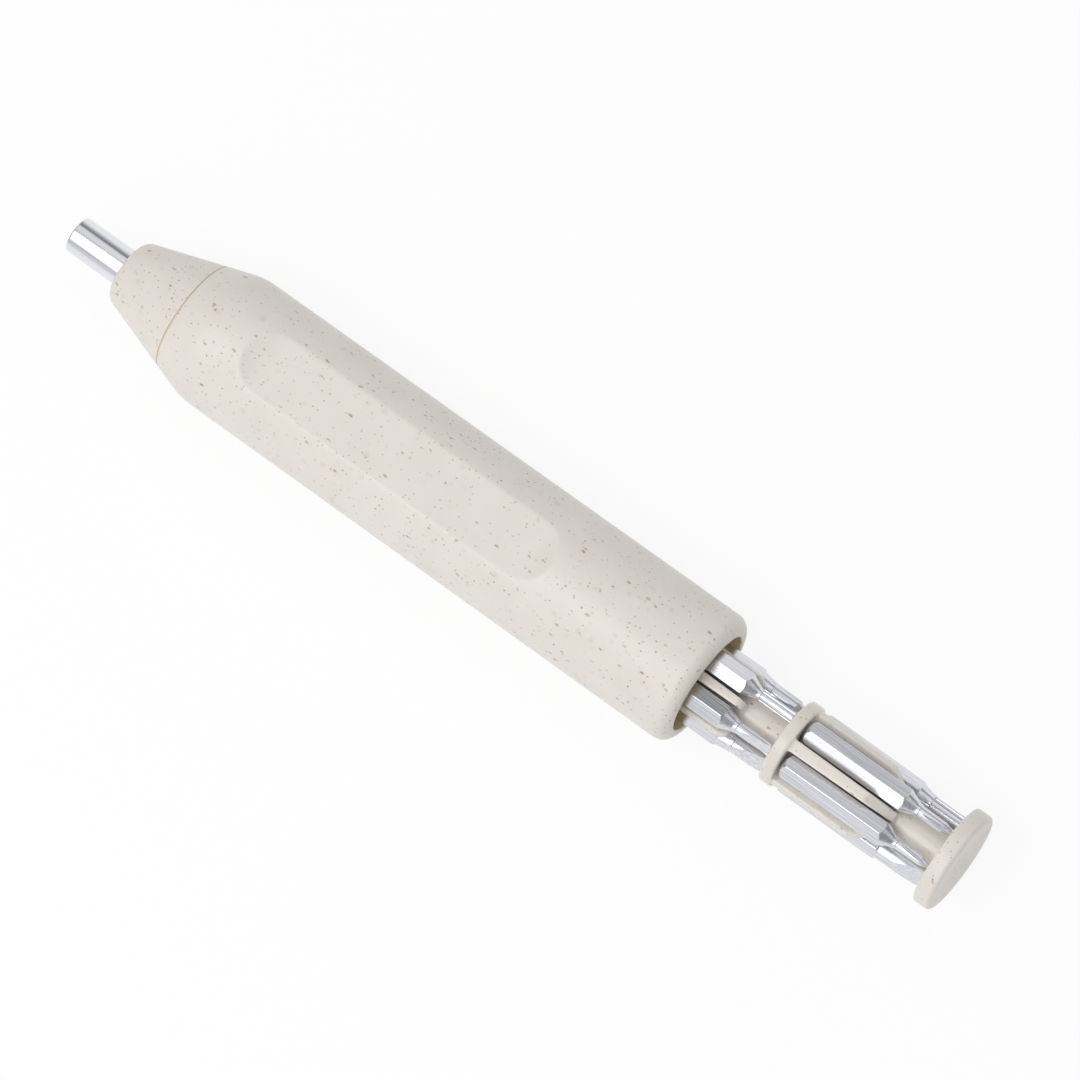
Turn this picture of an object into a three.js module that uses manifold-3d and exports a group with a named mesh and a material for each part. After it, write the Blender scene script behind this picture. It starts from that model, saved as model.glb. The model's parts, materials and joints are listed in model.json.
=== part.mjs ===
// Multi-bit screwdriver with a pull-out bit magazine, in millimetres, +Z up.
// It lies on its handle along X, socket towards -X, with the magazine part way out of the mouth.
import * as THREE from 'three';
import { mergeVertices } from 'three/addons/utils/BufferGeometryUtils.js';
import Module from 'manifold-3d';

// Bits: 4 mm hexagon precision bits, each with its tip's kind, size across and turn in degrees
const bitFlats = 4;
const bitShankLength = 19.3;
const bitNeckTaper = 2.1;
const bitNeckLength = 0.4;
const bitTipLength = 6.2;
const bitShankRound = 0.6;
const bitNeckStep = 0.15;
const bitPointLength = 1.6;
const crossWebShare = 0.125;
const crossPointShare = 0.17;
const slotBladeShare = 0.09;
const starFluteShare = 0.125;
const frontBits = [
  { name: 'slot_bit_2mm', kind: 'slot', across: 2, turn: 15 },
  { name: 'slot_bit_3mm', kind: 'slot', across: 3, turn: -60 },
  { name: 'star_bit_8', kind: 'star', across: 2.4, turn: 0 },
  { name: 'cross_bit_0', kind: 'cross', across: 3, turn: 45 },
  { name: 'star_bit_6', kind: 'star', across: 1.75, turn: 0 },
];
const rearBits = [
  { name: 'cross_bit_000', kind: 'cross', across: 1.6, turn: 45 },
  { name: 'slot_bit_4mm', kind: 'slot', across: 3.8, turn: -60 },
  { name: 'hex_bit_2mm', kind: 'hex', across: 2, turn: 0 },
  { name: 'star_bit_10', kind: 'star', across: 2.8, turn: 0 },
  { name: 'cross_bit_00', kind: 'cross', across: 2, turn: 45 },
];

// Magazine tiers: a disc, a core with ribs between the bits, and a rod
const bitCircleRadius = 5.27;
const discDiameter = 14.85;
const discThickness = 2.33;
const discEdge = 0.4;
const ribClearance = 0.12;
const frontRibSetback = 1.3;
const frontRibOverhang = 1.6;
const frontRibRound = 1.6;
const rearRibSetback = 0.12;
const rearRibSlope = 5.1;
const pocketClearance = 0.1;
const coreClearance = 0.2;
const bitEndClearance = 0.3;
const tierSpigotShoulder = 0.97;
const tierSpigotClearance = 0.1;
const tierSeatFloor = 0.7;
const rearTierTurn = 5;

// End cap
const capThickness = 2.97;
const capFrontEdge = 0.4;
const capRearEdge = 0.7;
const capDish = 0.4;
const capClearance = 0.13;
const capProud = 0.4;

// Handle shell
const shellLength = 102.8;
const shellConeLength = 5.95;
const shoulderRound = 12;
const chamberClearance = 0.58;
const handleWall = 3.7;
const mouthLedge = 0.86;
const mouthChamfer = 0.3;
const lipFlat = 0.25;
const webThickness = 2.5;
const panelDepth = 1.25;
const panelFrontMargin = 6.75;
const panelRearMargin = 29.7;
const panelCount = 2;

// Nose cone
const noseFrontWall = 2.255;
const noseFrontRound = 1.7;
const noseLength = 13.55;
const seamWall = 1.9;
const seamGap = 0.1;
const noseSpigotLength = 8;
const noseSpigotClearance = 0.1;
const noseSpigotEndClearance = 0.3;

// Bit socket and its magnet
const socketWall = 0.83;
const socketReach = 10.5;
const socketEdge = 0.3;
const socketFitClearance = 0.1;
const socketBitClearance = 0.05;
const bitSeatDepth = 14;
const driveStep = 1.3;
const driveLength = 6;
const magnetLength = 4;
const magnetClearance = 0.1;

// Where the magazine stands in the photographed pose
const collarStandOut = 15.2;

// Facets round the axis, each count leaving a flat facet underneath
const shellSides = 48;
const socketSides = 32;
const discSides = 40;
const rodSides = 24;
const neckSides = 16;
const arcSteps = 4;

// Depth by which joined solids run into each other, and the distance at which points are one point
const joinDepth = 0.5;
const weldDistance = 1e-4;

// Sizes that follow from the ones above
const degrees = Math.PI / 180;
const quarter = Math.PI / 2;
const bitsPerTier = frontBits.length;
const slotAngle = 2 * Math.PI / bitsPerTier;
const halfSlot = slotAngle / 2;
const bitLength = bitShankLength + bitNeckTaper + bitNeckLength + bitTipLength;
const bitTipStart = bitLength - bitTipLength;
const bitCorner = bitFlats / 2 / Math.cos(Math.PI / 6);
const bitReach = Math.hypot(bitCircleRadius + bitFlats / 2, bitCorner / 2);
const tierLength = bitLength + 2 * bitEndClearance;
const coreLength = bitShankLength + coreClearance;
const sideCornerSpace = bitCircleRadius * Math.sin(halfSlot) - bitCorner * Math.cos(halfSlot);
const innerFlatRadius = bitCircleRadius - bitFlats / 2;
const floorRadius = innerFlatRadius - pocketClearance;
const innerCornerSpace = innerFlatRadius * Math.sin(halfSlot) - bitCorner / 2 * Math.cos(halfSlot);
const ribThickness = 2 * (Math.min(sideCornerSpace, innerCornerSpace) - ribClearance);
const discRadius = discDiameter / 2;
const frontRibRadius = discRadius - frontRibSetback;
const rearRibRadius = discRadius - rearRibSetback;
const tierSpigotRadius = floorRadius - tierSpigotShoulder;
const tierSeatDepth = Math.min(discThickness, capThickness - capDish) - tierSeatFloor;
const tierSpigotLength = tierSeatDepth - tierSpigotClearance;
const chamberRadius = Math.max(discRadius, bitReach) + chamberClearance;
const mouthRadius = chamberRadius + mouthLedge;
const capRadius = mouthRadius - capClearance;
const handleRadius = chamberRadius + handleWall;
const lipRound = handleRadius - mouthRadius - mouthChamfer - lipFlat;
const socketBoreFlats = bitFlats + 2 * socketBitClearance;
const socketRadius = socketBoreFlats / 2 / Math.cos(Math.PI / 6) + socketWall;
const magnetRadius = socketBoreFlats / 2 - magnetClearance;
const driveRadius = socketRadius + driveStep;
const noseFrontRadius = socketRadius + noseFrontWall;
const coneLength = noseLength + shellConeLength;
const coneSlope = (handleRadius - noseFrontRadius) / coneLength;
const coneAngle = Math.atan(coneSlope);
const seamRadius = noseFrontRadius + coneSlope * noseLength;
const noseSpigotRadius = seamRadius - seamWall;

// Stations along the axis, from the nose's front face
const shellStart = noseLength + seamGap;
const shellEnd = noseLength + shellLength;
const spigotEnd = noseLength + noseSpigotLength;
const webFront = spigotEnd + noseSpigotEndClearance;
const webRear = webFront + webThickness;
const panelStart = coneLength + panelFrontMargin;
const panelEnd = shellEnd - panelRearMargin;
const ledgeStation = shellEnd - capThickness + capProud;
const rearDiscStation = shellEnd + collarStandOut;
const frontDiscStation = rearDiscStation - tierLength - discThickness;
const capStation = rearDiscStation + discThickness + tierLength;
const toolEnd = capStation + capThickness;
const toolMiddle = (toolEnd - socketReach) / 2;
const axisHeight = handleRadius * Math.cos(Math.PI / shellSides);

const wasm = await Module();
wasm.setup();

// One closed skin: shared points merged and triangles without area left out
function weld(geometry) {
  const bare = geometry.clone();
  bare.deleteAttribute('normal');
  bare.deleteAttribute('uv');
  const merged = mergeVertices(bare, weldDistance);
  const corners = merged.index.array;
  const kept = [];
  for (let i = 0; i < corners.length; i += 3) {
    const [a, b, c] = [corners[i], corners[i + 1], corners[i + 2]];
    if (a !== b && b !== c && c !== a) kept.push(a, b, c);
  }
  merged.setIndex(kept);
  return merged;
}

function toSolid(geometry) {
  const skin = weld(geometry);
  const vertProperties = new Float32Array(skin.attributes.position.array);
  const triVerts = new Uint32Array(skin.index.array);
  return new wasm.Manifold(new wasm.Mesh({ numProp: 3, vertProperties, triVerts }));
}

function toGeometry(solid) {
  const skin = solid.getMesh();
  const geometry = new THREE.BufferGeometry();
  const places = new Float32Array(skin.vertProperties);
  geometry.setAttribute('position', new THREE.BufferAttribute(places, 3));
  geometry.setIndex(Array.from(skin.triVerts));
  return geometry;
}

// Solid turned about the X axis from [station, radius] points; a facet, or a corner, faces +Z
function turned(profile, sides, cornerUp = false) {
  const points = profile.map(([station, radius]) => new THREE.Vector2(radius, station));
  const first = cornerUp ? 0 : Math.PI / sides;
  const geometry = new THREE.LatheGeometry(points, sides, first);
  geometry.rotateZ(-Math.PI / 2);
  return toSolid(geometry);
}

// Bar along X whose flats lie at a given distance from the axis
function prism(start, end, flatRadius, sides, cornerUp = false) {
  const radius = flatRadius / Math.cos(Math.PI / sides);
  return turned([[start, 0], [start, radius], [end, radius], [end, 0]], sides, cornerUp);
}

// Points of an arc in the profile plane, from one angle to another
function arc(station, radius, round, from, to) {
  const points = [];
  for (let i = 0; i <= arcSteps; i++) {
    const angle = from + (to - from) * i / arcSteps;
    points.push([station + round * Math.cos(angle), radius + round * Math.sin(angle)]);
  }
  return points;
}

// Outline in the X-Z plane given thickness across Y, centred on the axis
function plate(shape, thickness) {
  const geometry = new THREE.ExtrudeGeometry(shape, {
    depth: thickness,
    bevelEnabled: false,
    curveSegments: arcSteps,
  });
  geometry.translate(0, 0, -thickness / 2);
  geometry.rotateX(Math.PI / 2);
  return toSolid(geometry);
}

function spun(solid, angle) {
  return toSolid(toGeometry(solid).rotateX(angle));
}

function around(count, first, make) {
  return Array.from({ length: count }, (_, i) => make(first + 2 * Math.PI * i / count));
}

function material(color, roughness, metalness) {
  return new THREE.MeshStandardMaterial({ color, roughness, metalness });
}

// Handle: cone behind the seam, blended shoulder, long cylinder, rounded lip, mouth ledge and chamber
function handleShell() {
  const shoulderEnd = coneLength + shoulderRound * Math.tan(coneAngle / 2);
  const shoulderCentre = handleRadius - shoulderRound;
  const body = turned([
    [webFront, 0],
    [webFront, noseSpigotRadius + noseSpigotClearance],
    [shellStart, noseSpigotRadius + noseSpigotClearance],
    [shellStart, seamRadius + coneSlope * seamGap],
    ...arc(shoulderEnd, shoulderCentre, shoulderRound, quarter + coneAngle, quarter),
    ...arc(shellEnd - lipRound, handleRadius - lipRound, lipRound, quarter, 0),
    [shellEnd, mouthRadius + mouthChamfer],
    [shellEnd - mouthChamfer, mouthRadius],
    [ledgeStation, mouthRadius],
    [ledgeStation, chamberRadius],
    [webRear, chamberRadius],
    [webRear, 0],
  ], shellSides);
  const panel = gripPanel();
  const panels = around(panelCount, 0, (angle) => spun(panel, angle));
  return panels.reduce((left, cut) => left.subtract(cut), body);
}

// Round-ended block that sinks a flat grip panel into the top of the handle
function gripPanel() {
  const floor = handleRadius - panelDepth;
  const halfWidth = Math.sqrt(handleRadius ** 2 - floor ** 2);
  const outline = new THREE.Shape();
  outline.absarc(panelEnd - halfWidth, 0, halfWidth, -quarter, quarter);
  outline.absarc(panelStart + halfWidth, 0, halfWidth, quarter, 3 * quarter);
  const block = new THREE.ExtrudeGeometry(outline, {
    depth: 2 * panelDepth,
    bevelEnabled: false,
    curveSegments: 3 * arcSteps,
  });
  block.translate(0, 0, floor);
  return toSolid(block);
}

// Nose: rounded front edge, cone, and the spigot with the hexagon seat for the socket's drive flange
function noseCone() {
  const bore = socketRadius + socketFitClearance;
  const edgeRadius = noseFrontRadius - noseFrontRound * Math.tan((quarter - coneAngle) / 2);
  const body = turned([
    [0, bore],
    ...arc(noseFrontRound, edgeRadius, noseFrontRound, 2 * quarter, quarter + coneAngle),
    [noseLength, seamRadius],
    [noseLength, noseSpigotRadius],
    [spigotEnd, noseSpigotRadius],
    [spigotEnd, bore],
    [0, bore],
  ], shellSides);
  const seatStart = spigotEnd - driveLength - socketFitClearance;
  return body.subtract(prism(seatStart, spigotEnd + joinDepth, driveRadius + socketFitClearance, 6));
}

// Socket: tube with a hexagon bore for the bit and a hexagon flange that the nose keeps from turning
function bitSocket() {
  const tube = turned([
    [-socketReach, 0],
    [-socketReach, socketRadius - socketEdge],
    [socketEdge - socketReach, socketRadius],
    [spigotEnd, socketRadius],
    [spigotEnd, 0],
  ], socketSides);
  const flange = prism(spigotEnd - driveLength, spigotEnd, driveRadius, 6);
  const boreEnd = bitSeatDepth + magnetLength + magnetClearance - socketReach;
  return tube.add(flange).subtract(prism(-socketReach - joinDepth, boreEnd, socketBoreFlats / 2, 6));
}

function socketMagnet() {
  const start = bitSeatDepth - socketReach;
  const end = start + magnetLength;
  return turned([[start, 0], [start, magnetRadius], [end, magnetRadius], [end, 0]], neckSides);
}

// Rib of the front tier: full height all the way, with a rounded top corner at its end
function frontRib() {
  const end = coreLength + frontRibOverhang;
  const outline = new THREE.Shape();
  outline.moveTo(-joinDepth, 0);
  outline.lineTo(end, 0);
  outline.lineTo(end, frontRibRadius - frontRibRound);
  outline.absarc(end - frontRibRound, frontRibRadius - frontRibRound, frontRibRound, 0, quarter);
  outline.lineTo(-joinDepth, frontRibRadius);
  return plate(outline, ribThickness);
}

// Rib of the rear tier: full height first, then sloping down to the core's end
function rearRib() {
  const outline = new THREE.Shape();
  outline.moveTo(-joinDepth, 0);
  outline.lineTo(coreLength, 0);
  outline.lineTo(coreLength, floorRadius / Math.cos(halfSlot));
  outline.lineTo(coreLength - rearRibSlope, rearRibRadius);
  outline.lineTo(-joinDepth, rearRibRadius);
  return plate(outline, ribThickness);
}

// Tier from its disc's rear face: disc, core, ribs, rod and the spigot that plugs into the next piece
function tier(rib) {
  const disc = turned([
    [-discThickness, 0],
    [-discThickness, discRadius - discEdge],
    [discEdge - discThickness, discRadius],
    [-discEdge, discRadius],
    [0, discRadius - discEdge],
    [0, 0],
  ], discSides);
  const core = prism(-joinDepth, coreLength, floorRadius, bitsPerTier, true);
  const rod = turned([
    [-joinDepth, 0],
    [-joinDepth, floorRadius],
    [tierLength, floorRadius],
    [tierLength, tierSpigotRadius],
    [tierLength + tierSpigotLength, tierSpigotRadius],
    [tierLength + tierSpigotLength, 0],
  ], rodSides);
  const ribs = around(bitsPerTier, 0, (angle) => spun(rib, angle));
  const joined = [core, rod, ...ribs].reduce((left, next) => left.add(next), disc);
  return joined.subtract(spigotSeat(-discThickness));
}

// Hole that takes the spigot of the tier in front
function spigotSeat(station) {
  const radius = tierSpigotRadius + tierSpigotClearance;
  const start = station - joinDepth;
  const end = station + tierSeatDepth;
  return turned([[start, 0], [start, radius], [end, radius], [end, 0]], rodSides);
}

// Cap: disc with rounded edges, a shallow dish behind and a seat for the rear tier's spigot
function endCap() {
  const body = turned([
    [0, 0],
    [0, capRadius - capFrontEdge],
    [capFrontEdge, capRadius],
    ...arc(capThickness - capRearEdge, capRadius - capRearEdge, capRearEdge, quarter, 0),
    [capThickness - capDish, 0],
  ], shellSides);
  return body.subtract(spigotSeat(0));
}

// Cutter whose lowest edge or face runs from the skin at the tip's start down to a height at its end
function slopedCut(bar, across, endHeight) {
  bar.rotateY(Math.atan((across / 2 - endHeight) / bitTipLength));
  bar.translate(bitLength, 0, endHeight);
  return toSolid(bar);
}

function crossFlute(across) {
  const bar = new THREE.BoxGeometry(3 * bitTipLength, across, across);
  bar.rotateX(Math.PI / 4);
  bar.translate(0, 0, across / Math.SQRT2);
  return slopedCut(bar, across, across * crossWebShare);
}

function slotFlank(across) {
  const bar = new THREE.BoxGeometry(3 * bitTipLength, 2 * across, across);
  bar.translate(0, 0, across / 2);
  return slopedCut(bar, across, across * slotBladeShare);
}

function starFlute(across) {
  const radius = across * starFluteShare;
  const end = bitLength + joinDepth;
  const bar = turned([[bitTipStart, 0], [bitTipStart, radius], [end, radius], [end, 0]], neckSides);
  return toSolid(toGeometry(bar).translate(0, 0, across / 2));
}

// How many cutters go round each kind of tip; a hexagon tip needs none
const tipCuts = {
  cross: { count: 4, cutter: crossFlute },
  slot: { count: 2, cutter: slotFlank },
  star: { count: 6, cutter: starFlute },
};

// Bit along X from its shank's start, one flat facing +Z
function bit({ kind, across, turn }) {
  const tipRadius = across / 2;
  const neckRadius = Math.min(tipRadius + bitNeckStep, bitFlats / 2);
  const pointRadius = kind === 'cross' ? across * crossPointShare : tipRadius;
  const shank = turned([
    [0, 0],
    [0, bitCorner - bitShankRound],
    [bitShankRound, bitCorner],
    [bitShankLength - bitShankRound, bitCorner],
    [bitShankLength, bitFlats / 2],
    [bitShankLength, 0],
  ], 6);
  const neck = turned([
    [bitShankLength - joinDepth, 0],
    [bitShankLength - joinDepth, bitFlats / 2],
    [bitShankLength, bitFlats / 2],
    [bitShankLength + bitNeckTaper, neckRadius],
    [bitTipStart, neckRadius],
    [bitTipStart + bitNeckStep, tipRadius],
    [bitLength - bitPointLength, tipRadius],
    [bitLength, pointRadius],
    [bitLength, 0],
  ], kind === 'hex' ? 6 : neckSides);
  const blank = shank.add(neck);
  if (kind === 'hex') return blank;
  const { count, cutter } = tipCuts[kind];
  const first = cutter(across);
  const cuts = around(count, turn * degrees, (angle) => spun(first, angle));
  return cuts.reduce((left, cut) => left.subtract(cut), blank);
}

const strawShell = material('#e2ddd5', 0.5, 0);
const strawMagazine = material('#e4dccd', 0.35, 0);
const chromeTube = material('#d5d7dc', 0.12, 1);
const bitSteel = material('#c6c8cd', 0.28, 1);
const magnetNickel = material('#8f9196', 0.4, 1);

const tool = new THREE.Group();
tool.position.set(-toolMiddle, 0, axisHeight);

function addMesh(parent, name, solid, look) {
  const mesh = new THREE.Mesh(toGeometry(solid), look.clone());
  mesh.name = name;
  parent.add(mesh);
  return mesh;
}

addMesh(tool, 'handle_shell', handleShell(), strawShell);
addMesh(tool, 'nose_cone', noseCone(), strawShell);
addMesh(tool, 'bit_socket', bitSocket(), chromeTube);
addMesh(tool, 'socket_magnet', socketMagnet(), magnetNickel);

// A tier with its bits lying between the ribs, the whole turned about the axis
function addTier(name, rib, bits, station, turn) {
  const group = new THREE.Group();
  group.position.x = station + discThickness;
  group.rotation.x = turn;
  addMesh(group, name, tier(rib), strawMagazine);
  bits.forEach((entry, i) => {
    const holder = new THREE.Group();
    holder.rotation.x = slotAngle * (i + 0.5);
    const mesh = addMesh(holder, entry.name, bit(entry), bitSteel);
    mesh.position.set(bitEndClearance, 0, bitCircleRadius);
    group.add(holder);
  });
  tool.add(group);
}

addTier('front_tier', frontRib(), frontBits, frontDiscStation, 0);
addTier('rear_tier', rearRib(), rearBits, rearDiscStation, rearTierTurn * degrees);
addMesh(tool, 'end_cap', endCap(), strawShell).position.x = capStation;

export default tool;
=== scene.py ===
import json
import math
import bmesh
import bpy
from mathutils import Matrix, Vector


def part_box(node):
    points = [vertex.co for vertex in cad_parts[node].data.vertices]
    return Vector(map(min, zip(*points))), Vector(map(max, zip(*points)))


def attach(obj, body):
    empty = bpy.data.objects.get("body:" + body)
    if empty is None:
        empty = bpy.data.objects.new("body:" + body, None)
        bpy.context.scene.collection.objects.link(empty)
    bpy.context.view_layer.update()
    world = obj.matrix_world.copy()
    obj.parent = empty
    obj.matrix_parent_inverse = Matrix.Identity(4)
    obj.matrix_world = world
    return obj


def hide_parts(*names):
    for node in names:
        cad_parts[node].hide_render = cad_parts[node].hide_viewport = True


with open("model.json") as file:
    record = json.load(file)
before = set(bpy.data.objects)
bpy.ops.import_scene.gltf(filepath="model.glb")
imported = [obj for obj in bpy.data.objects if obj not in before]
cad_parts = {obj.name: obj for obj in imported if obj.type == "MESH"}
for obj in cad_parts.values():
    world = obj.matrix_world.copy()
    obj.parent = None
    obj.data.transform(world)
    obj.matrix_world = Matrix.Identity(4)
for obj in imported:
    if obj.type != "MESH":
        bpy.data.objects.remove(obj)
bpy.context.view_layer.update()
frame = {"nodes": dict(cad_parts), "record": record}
scene = bpy.context.scene
mm = 0.001
bodyOf = {node: body for body, group in frame["record"]["behaviour"]["bodies"].items() for node in group}
shellLow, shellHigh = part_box("handle_shell")
axisHeight = (shellLow.z + shellHigh.z) / 2  # the tool lies on its round handle
print("frame loaded,", len(frame["nodes"]), "nodes")


def spanOf(node):  # start and end along the tool, and half the height, in mm
    low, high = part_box(node)
    return low.x / mm, high.x / mm, (high.z - low.z) / 2 / mm


def filleted(corners, steps=8):  # (x, radius, rounding) corners into an outline with arcs
    outline = []
    for i, (x, radius, rounding) in enumerate(corners):
        corner = Vector((x, radius))
        if not rounding:
            outline.append(corner)
            continue
        before = (Vector(corners[i - 1][:2]) - corner).normalized()
        after = (Vector(corners[i + 1][:2]) - corner).normalized()
        if (before + after).length < 0.01:  # nearly straight, so there is nothing to round
            outline.append(corner)
            continue
        half = before.angle(after) / 2
        run = rounding / math.tan(half)
        centre = corner + (before + after).normalized() * rounding / math.sin(half)
        first = (corner + before * run - centre) / rounding
        last = (corner + after * run - centre) / rounding
        outline += [centre + first.slerp(last, k / steps) * rounding for k in range(steps + 1)]
    return outline


def spinOutline(outline, steps):  # turned about the tool's axis
    bm = bmesh.new()
    verts = [bm.verts.new((x, 0, radius)) for x, radius in outline]
    edges = [bm.edges.new(pair) for pair in zip(verts, verts[1:])]
    bmesh.ops.spin(bm, geom=verts + edges, cent=(0, 0, 0), axis=(1, 0, 0), angle=math.tau, steps=steps,
                   use_merge=True)
    return closed(bm)


def closed(bm):  # seams and poles joined, faces outwards
    bmesh.ops.remove_doubles(bm, verts=bm.verts, dist=1e-4)
    bmesh.ops.dissolve_degenerate(bm, edges=bm.edges, dist=1e-5)
    bmesh.ops.recalc_face_normals(bm, faces=bm.faces)
    return bm


def toObject(bm, name):
    mesh = bpy.data.meshes.new(name)
    bm.to_mesh(mesh)
    bm.free()
    piece = bpy.data.objects.new(name, mesh)
    scene.collection.objects.link(piece)
    return piece


def combine(bm, others, operation):  # boolean of one shape with others, as a new bmesh
    base = toObject(bm, "blank")
    tools = [toObject(other, "tool") for other in others]
    for tool in tools:
        cut = base.modifiers.new("cut", "BOOLEAN")
        cut.operation = operation
        cut.solver = "EXACT"
        cut.object = tool
    result = bmesh.new()
    result.from_object(base, bpy.context.evaluated_depsgraph_get())
    for temporary in [base, *tools]:
        bpy.data.meshes.remove(temporary.data)
    return closed(result)


def finishPiece(bm, name, node, material, sharp=32, flats=False):  # from mm to its place in metres
    bmesh.ops.scale(bm, vec=(mm, mm, mm), verts=bm.verts)
    bmesh.ops.translate(bm, vec=(0, 0, axisHeight), verts=bm.verts)
    piece = toObject(bm, name)
    piece.data.shade_smooth()
    piece.data.set_sharp_from_angle(angle=math.radians(sharp))
    piece.data.materials.append(material)
    if flats:  # wide flat faces keep their own normals beside the narrow rounded edges
        weighted = piece.modifiers.new("normals", "WEIGHTED_NORMAL")
        weighted.keep_sharp = True
    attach(piece, bodyOf[node])
    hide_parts(node)
    print("made", name, len(piece.data.polygons), "faces")
    return piece


def linear(code):  # sRGB hex to the linear colour that the shader wants
    parts = [int(code[i:i + 2], 16) / 255 for i in (1, 3, 5)]
    return [c / 12.92 if c <= 0.04045 else ((c + 0.055) / 1.055) ** 2.4 for c in parts] + [1]


def addNode(tree, kind, inputs={}, **settings):  # a node with its settings, values and links
    node = tree.nodes.new(kind)
    for name, value in settings.items():
        setattr(node, name, value)
    for socket, value in inputs.items():
        if isinstance(value, bpy.types.NodeSocket):
            tree.links.new(value, node.inputs[socket])
        else:
            node.inputs[socket].default_value = value
    return node


def newMaterial(name):  # a material with its principled shader and the object's own coordinates
    material = bpy.data.materials.new(name)
    material.use_nodes = True
    tree = material.node_tree
    place = addNode(tree, "ShaderNodeTexCoord").outputs["Object"]
    return material, tree, tree.nodes["Principled BSDF"], place


# Straw-filled polypropylene, injection moulded: a milky ivory body with brown straw flecks,
# some cut by the surface and sharp, others just under it and blurred
strawFlecks = [
    {"spacing": 0.74, "least": 0.07, "most": 0.2, "share": 0.84, "edge": 0.4, "strength": 0.8, "turn": 0,
     "stretch": 0.75, "tones": ("#6b4f41", "#ae7c58", "#c6a27f")},
    {"spacing": 1.22, "least": 0.12, "most": 0.33, "share": 0.48, "edge": 0.4, "strength": 0.74,
     "turn": 0.7, "stretch": 0.5, "tones": ("#775a4a", "#b1815d", "#c2a78c")},
    {"spacing": 1.8, "least": 0.30, "most": 0.75, "share": 0.55, "edge": 0.0, "strength": 0.18,
     "turn": 1.9, "stretch": 0.8, "tones": ("#8d7c6f", "#a58a70", "#b8977a")},
]
straw = {"cloudSize": 6, "wobbleSize": 0.45, "wobble": 0.3, "crowding": 0.5, "darkShare": 0.2,
         "seamWidth": 0.16, "seamTan": "#d6c2a8", "grainSize": 0.25, "grainDepth": 0.02,
         "grainStrength": 0.06, "satin": 0.05}


def strawPlastic(name, body, cloud, roughness, glow, depth, seamAt=None):
    material, tree, shader, place = newMaterial(name)
    clouds = addNode(tree, "ShaderNodeTexNoise",
                     {"Vector": place, "Scale": 1 / (straw["cloudSize"] * mm), "Detail": 3})
    colour = addNode(tree, "ShaderNodeMix", {0: clouds.outputs["Fac"], 6: linear(body), 7: linear(cloud)},
                     data_type="RGBA").outputs[2]
    wobble = addNode(tree, "ShaderNodeTexNoise",
                     {"Vector": place, "Scale": 1 / (straw["wobbleSize"] * mm), "Detail": 1})
    shift = addNode(tree, "ShaderNodeVectorMath", {0: wobble.outputs["Color"], 1: (0.5, 0.5, 0.5)},
                    operation="SUBTRACT")
    sway = (straw["wobble"] * mm,) * 3
    bent = addNode(tree, "ShaderNodeVectorMath", {0: shift.outputs[0], 1: sway, 2: place},
                   operation="MULTIPLY_ADD").outputs[0]
    for flecks in strawFlecks:
        mask, tone = fleckLayer(tree, bent, clouds.outputs["Fac"], flecks)
        colour = addNode(tree, "ShaderNodeMix", {0: mask, 6: colour, 7: tone}, data_type="RGBA").outputs[2]
    if seamAt:  # a thin tan band is coloured at the seam's place along the tool
        along = addNode(tree, "ShaderNodeSeparateXYZ", {0: place}).outputs["X"]
        seam = addNode(tree, "ShaderNodeMath", {0: along, 1: seamAt, 2: straw["seamWidth"] * mm},
                       operation="COMPARE")
        colour = addNode(tree, "ShaderNodeMix", {0: seam.outputs[0], 6: colour, 7: linear(straw["seamTan"])},
                         data_type="RGBA").outputs[2]
    grain = addNode(tree, "ShaderNodeTexNoise",
                    {"Vector": place, "Scale": 1 / (straw["grainSize"] * mm), "Detail": 2}).outputs["Fac"]
    satin = addNode(tree, "ShaderNodeMapRange", {"Value": grain, "To Min": roughness - straw["satin"],
                                                 "To Max": roughness + straw["satin"]})
    relief = addNode(tree, "ShaderNodeBump", {"Height": grain, "Strength": straw["grainStrength"],
                                              "Distance": straw["grainDepth"] * mm})
    tree.links.new(colour, shader.inputs["Base Color"])
    tree.links.new(satin.outputs[0], shader.inputs["Roughness"])
    tree.links.new(relief.outputs[0], shader.inputs["Normal"])
    shader.inputs["IOR"].default_value = 1.49  # polypropylene
    shader.inputs["Subsurface Weight"].default_value = glow
    shader.inputs["Subsurface Radius"].default_value = (1, 0.8, 0.6)
    shader.inputs["Subsurface Scale"].default_value = depth * mm
    return material


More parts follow.
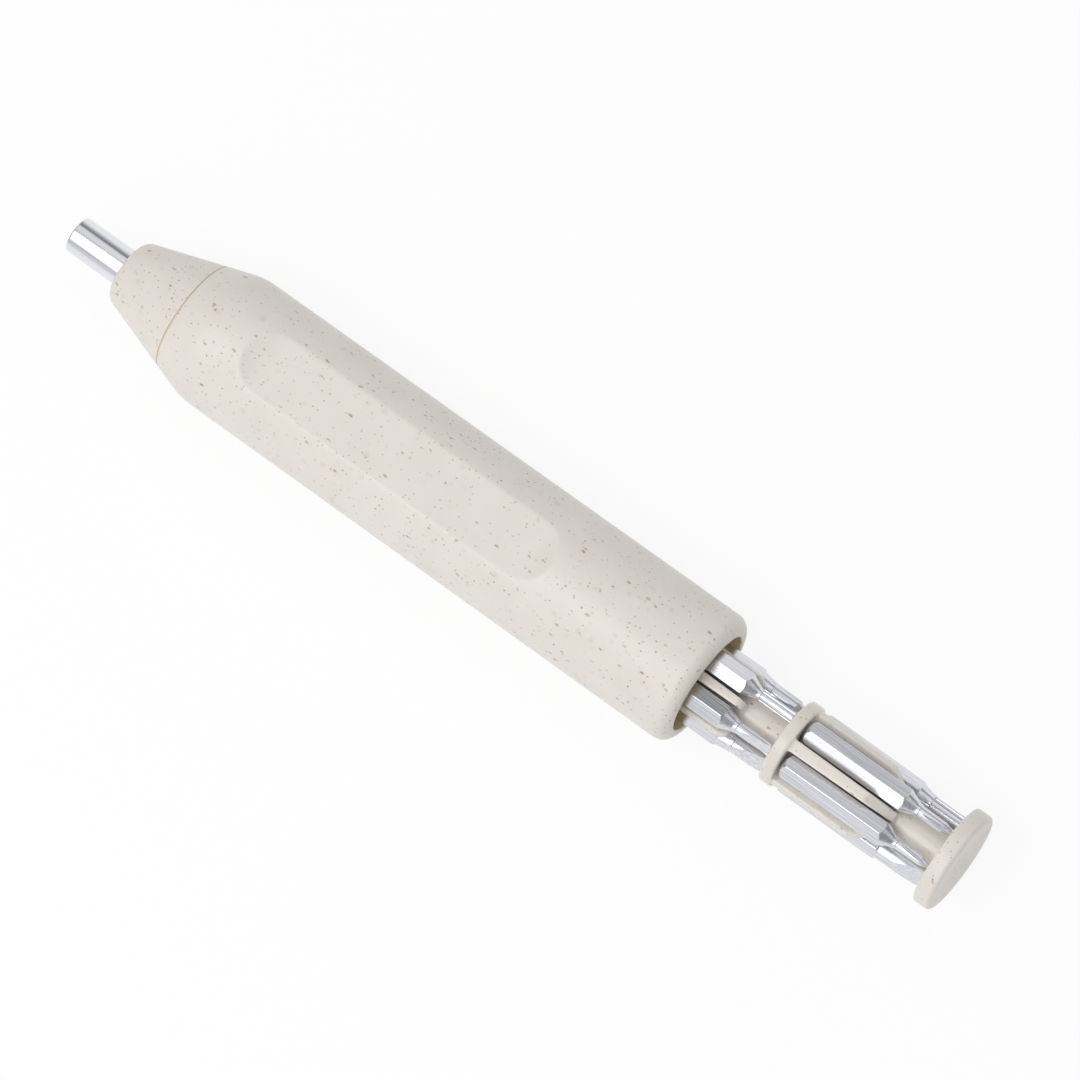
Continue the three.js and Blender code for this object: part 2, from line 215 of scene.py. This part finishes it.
def fleckLayer(tree, place, clouds, flecks):  # one size of fleck: where it shows, and in which tone
    cell = flecks["spacing"]
    turned = addNode(tree, "ShaderNodeMapping", {"Vector": place, "Rotation": (flecks["turn"],) * 3,
                                                 "Scale": (flecks["stretch"], 1, 1)}).outputs[0]
    cells = addNode(tree, "ShaderNodeTexVoronoi", {"Vector": turned, "Scale": 1 / (cell * mm)})
    chance = addNode(tree, "ShaderNodeSeparateColor", {"Color": cells.outputs["Color"]})
    reach = addNode(tree, "ShaderNodeMapRange", {"Value": chance.outputs[0], "To Min": flecks["least"] / cell,
                                                 "To Max": flecks["most"] / cell}).outputs[0]
    core = addNode(tree, "ShaderNodeMath", {0: reach, 1: flecks["edge"]}, operation="MULTIPLY").outputs[0]
    spot = addNode(tree, "ShaderNodeMapRange", {"Value": cells.outputs["Distance"], "From Min": reach,
                                                "From Max": core, "To Max": flecks["strength"]},
                   interpolation_type="SMOOTHSTEP").outputs[0]
    crowd = addNode(tree, "ShaderNodeMapRange", {"Value": clouds, "From Min": 0.3, "From Max": 0.7,
                                                 "To Min": flecks["share"] * (1 - straw["crowding"]),
                                                 "To Max": flecks["share"] * (1 + straw["crowding"])})
    kept = addNode(tree, "ShaderNodeMath", {0: chance.outputs[1], 1: crowd.outputs[0]}, operation="LESS_THAN")
    mask = addNode(tree, "ShaderNodeMath", {0: spot, 1: kept.outputs[0]}, operation="MULTIPLY")
    tones = addNode(tree, "ShaderNodeValToRGB", {"Fac": chance.outputs[2]})
    tones.color_ramp.elements.new(straw["darkShare"])
    for element, code in zip(tones.color_ramp.elements, flecks["tones"]):
        element.color = linear(code)
    return mask.outputs[0], tones.outputs[0]


# Drawn and plated steel: the wire's lengthwise lines stay under the plate and streak the reflections
lines = {"length": 9, "sheen": 0.3, "strength": 0.25, "low": 0.35, "high": 0.65}


def platedSteel(name, tint, dull, roughness, lineWidth, lineDepth):
    material, tree, shader, place = newMaterial(name)
    scale = (1 / (lines["length"] * mm), 1 / (lineWidth * mm), 1 / (lineWidth * mm))
    along = addNode(tree, "ShaderNodeMapping", {"Vector": place, "Scale": scale})
    drawn = addNode(tree, "ShaderNodeTexNoise",
                    {"Vector": along.outputs[0], "Scale": 1, "Detail": 3}).outputs["Fac"]
    polish = addNode(tree, "ShaderNodeMapRange", {"Value": drawn, "To Min": roughness * (1 - lines["sheen"]),
                                                  "To Max": roughness * (1 + lines["sheen"])})
    relief = addNode(tree, "ShaderNodeBump", {"Height": drawn, "Strength": lines["strength"],
                                              "Distance": lineDepth * mm})
    streak = addNode(tree, "ShaderNodeMapRange", {"Value": drawn, "From Min": lines["low"],
                                                  "From Max": lines["high"]})
    shade = addNode(tree, "ShaderNodeMix", {0: streak.outputs[0], 6: linear(dull), 7: linear(tint)},
                    data_type="RGBA")
    tree.links.new(shade.outputs[2], shader.inputs["Base Color"])
    tree.links.new(polish.outputs[0], shader.inputs["Roughness"])
    tree.links.new(relief.outputs[0], shader.inputs["Normal"])
    shader.inputs["Metallic"].default_value = 1
    return material


seamPlace = shellLow.x - 0.05 * mm
shellPlastic = strawPlastic("satinStrawPlastic", "#e6e1da", "#ddd7cf", 0.37, 0.15, 0.8, seamPlace)
# Painted bounce light: the bore's plastic is tinted tan to stand in for the warm light that bounces inside
# the chamber
paintedBounceLightPlastic = strawPlastic("paintedBounceLightStrawPlastic", "#e4cfa9", "#dac297", 0.5, 0.15, 0.8)
magazinePlastic = strawPlastic("glossyStrawPlastic", "#e4dfd8", "#dcd6ce", 0.2, 0.6, 1.2)
tubeChrome = platedSteel("chromedTube", "#e7e8ed", "#e1e2e8", 0.16, 0.3, 0.0001)
bitSteel = platedSteel("zincPlatedBitSteel", "#e6e7ec", "#c9cbd2", 0.24, 0.13, 0.008)
magnetNickel = platedSteel("nickelledMagnet", "#b9b6ae", "#b0ada5", 0.3, 0.4, 0.002)
print("materials made")

# Handle: cone behind the seam, long cylinder with two sunk grip panels, rounded lip and bored chamber
handle = {"spinSteps": 512, "arcSteps": 7, "seamRadius": 9.83, "seamEdge": 0.12, "coneLength": 5.85,
          "shoulderRound": 12, "lipRound": 2.3, "mouthRadius": 8.865, "mouthEdge": 0.35, "ledgeDepth": 2.57,
          "ledgeEdge": 0.1, "chamberRadius": 8.005, "chamberEdge": 0.15, "nozzleBore": 7.997,
          "nozzleEdge": 0.1, "webFront": 8.2, "webFrontRound": 0.2, "webRear": 10.7,
          "webRearRound": 0.5, "facets": 48,
          "panelDepth": 1.28, "panelStart": 13.0, "panelRear": 29.1, "panelRamp": 5, "panelMargin": 1,
          "edgeSoft": 0.2, "endRings": 32, "middleRings": 10}


def makeHandle(h):
    start, end, flat = spanOf("handle_shell")
    radius = flat / math.cos(math.pi / h["facets"])
    floor = radius - h["panelDepth"]
    panelStart = start + h["panelStart"]
    panelEnd = end - h["panelRear"]
    rings = [panelStart - h["panelMargin"], panelStart + h["panelRamp"],
             panelEnd - h["panelRamp"], panelEnd + h["panelMargin"]]
    outline = filleted([
        (start + h["webFront"], 0, 0),
        (start + h["webFront"], h["nozzleBore"], h["webFrontRound"]),
        (start, h["nozzleBore"], h["nozzleEdge"]),
        (start, h["seamRadius"], h["seamEdge"]),
        (start + h["coneLength"], radius, h["shoulderRound"]),
        *[(x, radius, 0) for x in rings],
        (end, radius, h["lipRound"]),
        (end, h["mouthRadius"], h["mouthEdge"]),
        (end - h["ledgeDepth"], h["mouthRadius"], h["ledgeEdge"]),
        (end - h["ledgeDepth"], h["chamberRadius"], h["chamberEdge"]),
        (start + h["webRear"], h["chamberRadius"], h["webRearRound"]),
        (start + h["webRear"], 0, 0)], h["arcSteps"])
    fine = []
    for here, ahead in zip(outline, outline[1:]):
        middle = (here.x + ahead.x) / 2
        onPanel = min(here.y, ahead.y) > radius - 1e-3 and rings[0] < middle < rings[3]
        inMiddle = rings[1] < middle < rings[2]
        cuts = (h["middleRings"] if inMiddle else h["endRings"]) if onPanel else 1
        fine += [here.lerp(ahead, k / cuts) for k in range(cuts)]
    bm = spinOutline(fine + [outline[-1]], h["spinSteps"])
    for v in bm.verts:
        if v.co.yz.length < radius - 0.01 or not rings[0] < v.co.x < rings[3]:
            continue
        past = max(rings[1] - v.co.x, 0, v.co.x - rings[2])
        sunk = floor + h["panelDepth"] * (past / h["panelRamp"]) ** 2
        height = abs(v.co.z)
        soft = max(h["edgeSoft"] - abs(height - sunk), 0) ** 2 / h["edgeSoft"] / 4
        v.co.z = math.copysign(min(height, sunk) - soft, v.co.z)
    piece = finishPiece(bm, "handleShell", "handle_shell", shellPlastic)
    piece.data.materials.append(paintedBounceLightPlastic)
    for face in piece.data.polygons:  # the bore's faces get the tan plastic: painted bounce light, a warm tint standing in for light that has bounced in the bore
        fromAxis = math.hypot(face.center.y, face.center.z - axisHeight)
        face.material_index = int(fromAxis < (h["mouthRadius"] + 0.05) * mm)


makeHandle(handle)

# Nose: rounded front edge and a straight cone up to the seam, with its plug inside the handle
nose = {"spinSteps": 256, "arcSteps": 12, "bore": 3.297, "boreEdge": 0.15, "boreSplit": 1,
        "frontRadius": 5.452, "frontRound": 1.7, "length": 13.55, "seamRadius": 9.797, "seamEdge": 0.12,
        "grooveDepth": 0.09, "grooveStep": 0.07, "plugRadius": 7.897, "plugEdge": 0.3}


def makeNose(n):
    start, end = spanOf("nose_cone")[:2]
    seam = start + n["length"]
    groove = n["seamRadius"] - n["grooveDepth"]
    outline = filleted([
        (start + n["boreSplit"], n["bore"], 0),
        (start, n["bore"], n["boreEdge"]),
        (start, n["frontRadius"], n["frontRound"]),
        (seam, n["seamRadius"], n["seamEdge"]),
        (seam, groove, 0),
        (seam + n["grooveStep"], groove, 0),
        (seam + n["grooveStep"], n["plugRadius"], 0),
        (end, n["plugRadius"], n["plugEdge"]),
        (end, n["bore"], 0),
        (start + n["boreSplit"], n["bore"], 0)], n["arcSteps"])
    bm = spinOutline(outline, n["spinSteps"])
    finishPiece(bm, "noseCone", "nose_cone", shellPlastic)


makeNose(nose)

# Socket: plated tube with a hexagon bore, and the hexagon flange that keeps it from turning in the nose
socket = {"spinSteps": 128, "radius": 3.197, "edge": 0.3, "boreFlats": 4.1, "boreDepth": 18.1,
          "flangeFlats": 8.99, "flangeLength": 6}


def makeSocket(s):
    start, end = spanOf("bit_socket")[:2]
    tube = spinOutline(filleted([
        (start, 0, 0),
        (start, s["radius"], s["edge"]),
        (end, s["radius"], 0),
        (end, 0, 0)]), s["spinSteps"])
    corner = 1 / math.cos(math.pi / 6) / 2  # from the size across flats to the corner's radius
    flange = hexBar(end - s["flangeLength"], end, s["flangeFlats"] * corner)
    bore = hexBar(start - 1, start + s["boreDepth"], s["boreFlats"] * corner)
    bm = combine(combine(tube, [flange], "UNION"), [bore], "DIFFERENCE")
    finishPiece(bm, "bitSocket", "bit_socket", tubeChrome)


def pull(bm, length):  # a flat outline into a bar along the tool
    pulled = bmesh.ops.extrude_face_region(bm, geom=bm.faces[:])["geom"]
    moved = [v for v in pulled if isinstance(v, bmesh.types.BMVert)]
    bmesh.ops.translate(bm, verts=moved, vec=(length, 0, 0))


def hexBar(start, end, corner, edge=0):  # along the axis, one flat up, with an optional edge rounding
    bm = bmesh.new()
    ring = bmesh.ops.create_circle(bm, cap_ends=True, segments=6, radius=corner)["verts"]
    bmesh.ops.rotate(bm, verts=ring, cent=(0, 0, 0), matrix=Matrix.Rotation(math.pi / 2, 3, "Y"))
    bmesh.ops.translate(bm, verts=ring, vec=(start, 0, 0))
    pull(bm, end - start)
    bmesh.ops.recalc_face_normals(bm, faces=bm.faces)
    if edge:
        long = [e for e in bm.edges if abs(e.verts[0].co.x - e.verts[1].co.x) > 1e-3]
        bmesh.ops.bevel(bm, geom=long, offset=edge, segments=4, profile=0.5, affect="EDGES", material=-1)
    return bm


makeSocket(socket)
frame["nodes"]["socket_magnet"].data.materials.clear()
frame["nodes"]["socket_magnet"].data.materials.append(magnetNickel)

# Magazine tiers: disc, five-sided core, ribs between the bits and a rod that plugs into the next piece
tier = {"discThickness": 2.33, "discEdge": 0.4, "coreLength": 19.5, "floorRadius": 3.17, "rodRadius": 3.1,
        "rodRound": 0.3, "rodEnd": 28.6, "rodEdge": 0.1, "plugRadius": 2.2, "plugGap": 0.1, "plugEdge": 0.2,
        "seatDepth": 1.63, "seatEdge": 0.1, "ribFoot": 1.7, "ribRoot": 1, "overlap": 0.5, "facets": 40,
        "spinSteps": 96, "voxel": 0.18, "softening": 4}
frontTier = {"node": "front_tier", "name": "frontTier", "turn": 0, "ribHeight": 6.12, "ribStart": 2.2,
             "ribEnd": 1.4, "overhang": 1.6, "slope": 0, "endRound": 1.6}
rearTier = {"node": "rear_tier", "name": "rearTier", "turn": 5, "ribHeight": 7.0, "ribStart": 2.2,
            "ribEnd": 1.75, "overhang": 0, "slope": 5.1, "endRound": 0}


def makeTier(t, one):
    start, end, flat = spanOf(one["node"])
    rear = start + t["discThickness"]  # the disc's rear face, where the bits begin
    radius = flat / math.cos(math.pi / t["facets"])
    seatRadius = t["plugRadius"] + t["plugGap"]
    parts = [spinOutline(filleted([
        (start + t["seatDepth"], 0, 0),
        (start + t["seatDepth"], seatRadius, 0),
        (start, seatRadius, t["seatEdge"]),
        (start, radius, t["discEdge"]),
        (rear, radius, t["discEdge"]),
        (rear, t["rodRadius"], t["rodRound"]),
        (rear + t["rodEnd"], t["rodRadius"], t["rodEdge"]),
        (rear + t["rodEnd"], t["plugRadius"], 0),
        (end, t["plugRadius"], t["plugEdge"]),
        (end, 0, 0)]), t["spinSteps"])]
    core = bmesh.new()
    coreCorner = t["floorRadius"] / math.cos(math.pi / 5)
    ring = bmesh.ops.create_circle(core, cap_ends=True, segments=5, radius=coreCorner)["verts"]
    bmesh.ops.rotate(core, verts=ring, cent=(0, 0, 0), matrix=Matrix.Rotation(-math.pi / 2, 3, "Y"))
    bmesh.ops.translate(core, verts=ring, vec=(rear - t["overlap"], 0, 0))
    pull(core, t["coreLength"] + t["overlap"])
    top = max(core.verts, key=lambda v: v.co.z).co
    bmesh.ops.rotate(core, verts=core.verts, cent=(0, 0, 0),
                     matrix=Matrix.Rotation(math.atan2(top.y, top.z), 3, "X"))
    parts.append(closed(core))
    for k in range(5):
        rib = makeRib(t, one, rear)
        around = Matrix.Rotation(k * math.tau / 5, 3, "X")
        bmesh.ops.rotate(rib, verts=rib.verts, cent=(0, 0, 0), matrix=around)
        parts.append(rib)
    joined = bmesh.new()
    for part in parts:
        temporary = toObject(part, "part")
        joined.from_mesh(temporary.data)
        bpy.data.meshes.remove(temporary.data)
    bmesh.ops.rotate(joined, verts=joined.verts, cent=(0, 0, 0),
                     matrix=Matrix.Rotation(math.radians(one["turn"]), 3, "X"))
    mould = toObject(joined, "mould")
    fuse = mould.modifiers.new("fuse", "REMESH")
    fuse.mode = "VOXEL"
    fuse.voxel_size = t["voxel"]
    bm = bmesh.new()
    bm.from_object(mould, bpy.context.evaluated_depsgraph_get())
    bpy.data.meshes.remove(mould.data)
    for k in range(t["softening"]):
        bmesh.ops.smooth_vert(bm, verts=bm.verts, factor=0.5, use_axis_x=True, use_axis_y=True,
                              use_axis_z=True)
    bmesh.ops.recalc_face_normals(bm, faces=bm.faces)
    finishPiece(bm, one["name"], one["node"], magazinePlastic, 60)


def makeRib(t, one, rear):  # a plate standing on the core, wider at its top and narrowing lengthwise
    length = t["coreLength"] + one["overhang"] + t["overlap"]
    bm = bmesh.new()
    bmesh.ops.create_cube(bm, size=1)
    for v in bm.verts:
        atTop = v.co.z > 0
        atEnd = v.co.x > 0
        v.co.x = rear - t["overlap"] + (length if atEnd else 0)
        width = one["ribEnd"] if atEnd else one["ribStart"]
        v.co.y = math.copysign(width if atTop else min(width, t["ribFoot"]), v.co.y) / 2
        v.co.z = one["ribHeight"] if atTop else t["ribRoot"]
    if one["slope"]:
        cut = rear + t["coreLength"] - one["slope"]
        bmesh.ops.bisect_plane(bm, geom=bm.verts[:] + bm.edges[:] + bm.faces[:], plane_co=(cut, 0, 0),
                               plane_no=(1, 0, 0), dist=1e-4)
        for v in bm.verts:
            if v.co.x > cut + 1e-3 and v.co.z > t["ribRoot"]:
                v.co.z = t["floorRadius"] / math.cos(math.pi / 5)
    if one["endRound"]:
        coreEnd = rear + t["coreLength"]
        high = [e for e in bm.edges if all(v.co.x > coreEnd and v.co.z > t["ribRoot"] for v in e.verts)]
        bmesh.ops.bevel(bm, geom=high, offset=one["endRound"], segments=8, profile=0.5, affect="EDGES",
                        material=-1)
    return closed(bm)


makeTier(tier, frontTier)
makeTier(tier, rearTier)

# End cap: plain disc with softened edges and a shallow dish behind
cap = {"spinSteps": 192, "frontEdge": 0.4, "rearEdge": 0.75, "dish": 0.4, "dishRadius": 2, "dishRound": 3,
       "seatRadius": 2.3, "seatDepth": 1.63, "seatEdge": 0.1, "facets": 48}


def makeCap(c):
    start, end, flat = spanOf("end_cap")
    radius = flat / math.cos(math.pi / c["facets"])
    outline = filleted([
        (start + c["seatDepth"], 0, 0),
        (start + c["seatDepth"], c["seatRadius"], 0),
        (start, c["seatRadius"], c["seatEdge"]),
        (start, radius, c["frontEdge"]),
        (end, radius, c["rearEdge"]),
        (end, radius - 2 * c["rearEdge"], c["dishRound"]),
        (end - c["dish"], c["dishRadius"], c["dishRound"]),
        (end - c["dish"], 0, 0)])
    finishPiece(spinOutline(outline, c["spinSteps"]), "endCap", "end_cap", shellPlastic)


makeCap(cap)

# Bits: hexagon bar turned down at both ends, with its tip milled to a cross, slot, star or hexagon
bit = {"flats": 4, "length": 28, "shank": 19.3, "startRound": 1.3, "edge": 0.09, "shoulder": 0.35,
       "chamferRadius": 1.94, "chamferRound": 0.1, "neckEnd": 21.3, "neckRound": 2.0, "neckGap": 0.1,
       "neckStep": 0.12, "stepRound": 0.1, "tip": 6.2, "point": 1.6, "pointRound": 0.3, "pointLeast": 0.05,
       "endRound": 0.05, "spinSteps": 96, "arcSteps": 10}
tips = {"slot_bit_2mm": ("slot", 2.0, 15), "slot_bit_3mm": ("slot", 3.0, -60), "star_bit_8": ("star", 2.4, 0),
        "cross_bit_0": ("cross", 3.0, 45), "star_bit_6": ("star", 1.75, 0),
        "cross_bit_000": ("cross", 1.6, 45), "slot_bit_4mm": ("slot", 3.8, -60),
        "hex_bit_2mm": ("hex", 2.0, 0), "star_bit_10": ("star", 2.8, 0),
        "cross_bit_00": ("cross", 2.0, 45)}  # kind, size across and turn of the first cut
milling = {"cross": {"cuts": 4, "depth": 0.125, "point": 0.17},
           "slot": {"cuts": 2, "depth": 0.09, "point": 0.5},
           "star": {"cuts": 6, "depth": 0.125, "point": 0.5},
           "hex": {"cuts": 6, "depth": 0.5, "point": 0.5}}  # depth and point are shares of the size across


def makeBit(b, node):
    kind, across, turn = tips[node]
    mill = milling[kind]
    corner = b["flats"] / 2 / math.cos(math.pi / 6)
    tipRadius = across / 2 / (math.cos(math.pi / 6) if kind == "hex" else 1)
    neckRadius = min(tipRadius + b["neckStep"], b["flats"] / 2 - b["neckGap"])
    tipStart = b["length"] - b["tip"]
    turned = spinOutline(filleted([
        (0, 0, 0),
        (0, corner, b["startRound"]),
        (b["shank"] - b["shoulder"], corner, b["chamferRound"]),
        (b["shank"], b["chamferRadius"], b["chamferRound"]),
        (b["neckEnd"], neckRadius, b["neckRound"]),
        (tipStart, neckRadius, b["stepRound"]),
        (tipStart + b["neckStep"], tipRadius, b["stepRound"]),
        (b["length"] - b["point"], tipRadius, b["pointRound"]),
        (b["length"], max(across * mill["point"], b["pointLeast"]), b["endRound"]),
        (b["length"], 0, 0)], b["arcSteps"]), b["spinSteps"])
    bm = combine(hexBar(-1, b["length"] + 1, corner, b["edge"]), [turned], "INTERSECT")
    bm = combine(bm, [tipCutter(b, kind, across, turn, mill, k) for k in range(mill["cuts"])], "DIFFERENCE")
    low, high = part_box(node)
    middle = (low + high) / 2 / mm - Vector((0, 0, axisHeight / mm))
    bmesh.ops.translate(bm, verts=bm.verts, vec=(low.x / mm, 0, middle.yz.length))
    bmesh.ops.rotate(bm, verts=bm.verts, cent=(0, 0, 0),
                     matrix=Matrix.Rotation(math.atan2(-middle.y, middle.z), 3, "X"))
    name = node.split("_")[0] + "Bit" + node.split("_")[2]
    finishPiece(bm, name, node, bitSteel, 25, flats=True)


def tipCutter(b, kind, across, turn, mill, k):  # one milling cut along the tip
    bm = bmesh.new()
    depth = across * mill["depth"]
    if kind == "star":
        bmesh.ops.create_cone(bm, cap_ends=True, segments=24, radius1=depth, radius2=depth,
                              depth=2 * b["tip"])
        bmesh.ops.rotate(bm, verts=bm.verts, cent=(0, 0, 0), matrix=Matrix.Rotation(math.pi / 2, 3, "Y"))
        bmesh.ops.translate(bm, verts=bm.verts, vec=(b["length"], 0, across / 2))
    else:
        bmesh.ops.create_cube(bm, size=1)
        wide = across if kind == "cross" else 2 * across
        bmesh.ops.scale(bm, verts=bm.verts, vec=(2 * b["tip"], wide, across))
        rise = across / 2
        if kind == "cross":
            bmesh.ops.rotate(bm, verts=bm.verts, cent=(0, 0, 0), matrix=Matrix.Rotation(math.pi / 4, 3, "X"))
            rise = across / math.sqrt(2)
        bmesh.ops.translate(bm, verts=bm.verts, vec=(0, 0, rise))
        slope = math.atan((across / 2 - depth) / b["tip"])
        bmesh.ops.rotate(bm, verts=bm.verts, cent=(0, 0, 0), matrix=Matrix.Rotation(slope, 3, "Y"))
        bmesh.ops.translate(bm, verts=bm.verts, vec=(b["length"], 0, depth))
    angle = math.radians(turn) + k * math.tau / mill["cuts"]
    bmesh.ops.rotate(bm, verts=bm.verts, cent=(0, 0, 0), matrix=Matrix.Rotation(angle, 3, "X"))
    return closed(bm)


for node in tips:
    makeBit(bit, node)

# Studio: white floor, a softbox over one side with a weaker panel below it, and a grey screen opposite
studio = {"floorSize": 4, "floorWhite": "#fafafa", "floorGlow": 0.87, "worldLight": 1.1, "endsDim": 0.46}
lamps = [{"name": "softbox", "away": 0.8, "width": 0.44, "length": 0.7, "power": 2.65, "lean": 20,
          "ahead": 11},
         {"name": "fillPanel", "away": 0.8, "width": 0.3, "length": 0.9, "power": 0.75, "lean": 46,
          "ahead": 11}]  # lean is to the side and ahead towards the socket, in degrees
roomShades = [(0.0, "#ffffff"), (0.03, "#f2f2f2"), (0.09, "#dadada"), (0.16, "#bcbcbc"), (0.5, "#bcbcbc"),
              (0.62, "#f6f6f6"), (0.744, "#ffffff"), (0.835, "#f2f2f2"), (0.865, "#909090"), (0.9, "#909090"),
              (0.945, "#c0c0c0"), (0.965, "#ffffff"), (1.0, "#ffffff")]


def makeStudio(s):
    bm = bmesh.new()
    bmesh.ops.create_grid(bm, x_segments=1, y_segments=1, size=s["floorSize"] / 2)
    floor = toObject(bm, "floor")
    material, tree, shader = newMaterial("paperFloor")[:3]
    shader.inputs["Base Color"].default_value = linear(s["floorWhite"])
    shader.inputs["Roughness"].default_value = 0.9
    rays = addNode(tree, "ShaderNodeLightPath")
    seen = rays.outputs["Is Camera Ray"]
    for kind in ("Is Glossy Ray", "Is Transmission Ray"):  # reflections show the same white floor
        seen = addNode(tree, "ShaderNodeMath", {0: seen, 1: rays.outputs[kind]},
                       operation="MAXIMUM").outputs[0]
    share = addNode(tree, "ShaderNodeMath", {0: seen, 1: s["floorGlow"]}, operation="MULTIPLY")
    glow = addNode(tree, "ShaderNodeEmission", {"Color": (1, 1, 1, 1), "Strength": 1})
    blend = addNode(tree, "ShaderNodeMixShader", {0: share.outputs[0], 1: shader.outputs[0],
                                                  2: glow.outputs[0]})
    tree.links.new(blend.outputs[0], tree.nodes["Material Output"].inputs["Surface"])
    floor.data.materials.append(material)

    for one in lamps:
        lamp = bpy.data.lights.new(one["name"], "AREA")
        lamp.shape = "RECTANGLE"
        lamp.size = one["width"]
        lamp.size_y = one["length"]
        lamp.energy = one["power"]
        box = bpy.data.objects.new(one["name"], lamp)
        scene.collection.objects.link(box)
        ahead, lean = [math.tan(math.radians(one[name])) for name in ("ahead", "lean")]
        aim = Vector((-ahead, -lean, 1)).normalized()
        box.location = aim * one["away"]
        box.rotation_euler = aim.to_track_quat("Z", "X").to_euler()

    world = bpy.data.worlds.new("studio")
    scene.world = world
    world.use_nodes = True
    tree = world.node_tree
    tree.nodes.clear()
    direction = addNode(tree, "ShaderNodeTexCoord").outputs["Generated"]
    parts = addNode(tree, "ShaderNodeSeparateXYZ", {0: direction})
    side = addNode(tree, "ShaderNodeMapRange", {"Value": parts.outputs["Y"], "From Min": -1, "From Max": 1})
    shades = addNode(tree, "ShaderNodeValToRGB", {"Fac": side.outputs[0]})
    for k, (position, code) in enumerate(roomShades):
        if 0 < k < len(roomShades) - 1:
            shades.color_ramp.elements.new(position)
        shades.color_ramp.elements[k].color = linear(code)
    along = addNode(tree, "ShaderNodeMath", {0: parts.outputs["X"]}, operation="ABSOLUTE")
    level = addNode(tree, "ShaderNodeMapRange", {"Value": along.outputs[0], "To Min": s["worldLight"],
                                                 "To Max": s["worldLight"] * s["endsDim"]})
    room = addNode(tree, "ShaderNodeBackground", {"Color": shades.outputs[0], "Strength": level.outputs[0]})
    white = addNode(tree, "ShaderNodeBackground", {"Color": (1, 1, 1, 1), "Strength": 1})
    rays = addNode(tree, "ShaderNodeLightPath")
    blend = addNode(tree, "ShaderNodeMixShader", {0: rays.outputs["Is Camera Ray"], 1: room.outputs[0],
                                                  2: white.outputs[0]})
    addNode(tree, "ShaderNodeOutputWorld", {"Surface": blend.outputs[0]})


makeStudio(studio)

# Camera: high above the tool's rear, rolled so that the tool runs down to the right
camera = {"lens": 227.8, "sensor": 36, "target": (0.00337, 0.00311, 0.01168), "distance": 1.07867,
          "azimuth": 71.052, "elevation": 76.375, "roll": -35.058}


def makeCamera(c):
    data = bpy.data.cameras.new("camera")
    data.lens = c["lens"]
    data.sensor_width = c["sensor"]
    data.clip_end = 20
    view = bpy.data.objects.new("camera", data)
    scene.collection.objects.link(view)
    azimuth, elevation, roll = [math.radians(c[name]) for name in ("azimuth", "elevation", "roll")]
    back = Vector((math.sin(azimuth) * math.cos(elevation), -math.cos(azimuth) * math.cos(elevation),
                   math.sin(elevation)))
    level = Vector((math.cos(azimuth), math.sin(azimuth), 0))
    over = back.cross(level)
    right = level * math.cos(roll) + over * math.sin(roll)
    up = back.cross(right)
    place = Matrix((right, up, back)).transposed().to_4x4()
    place.translation = Vector(c["target"]) + back * c["distance"]
    view.matrix_world = place
    scene.camera = view


makeCamera(camera)
scene.view_settings.view_transform = "Standard"
print("scene ready")
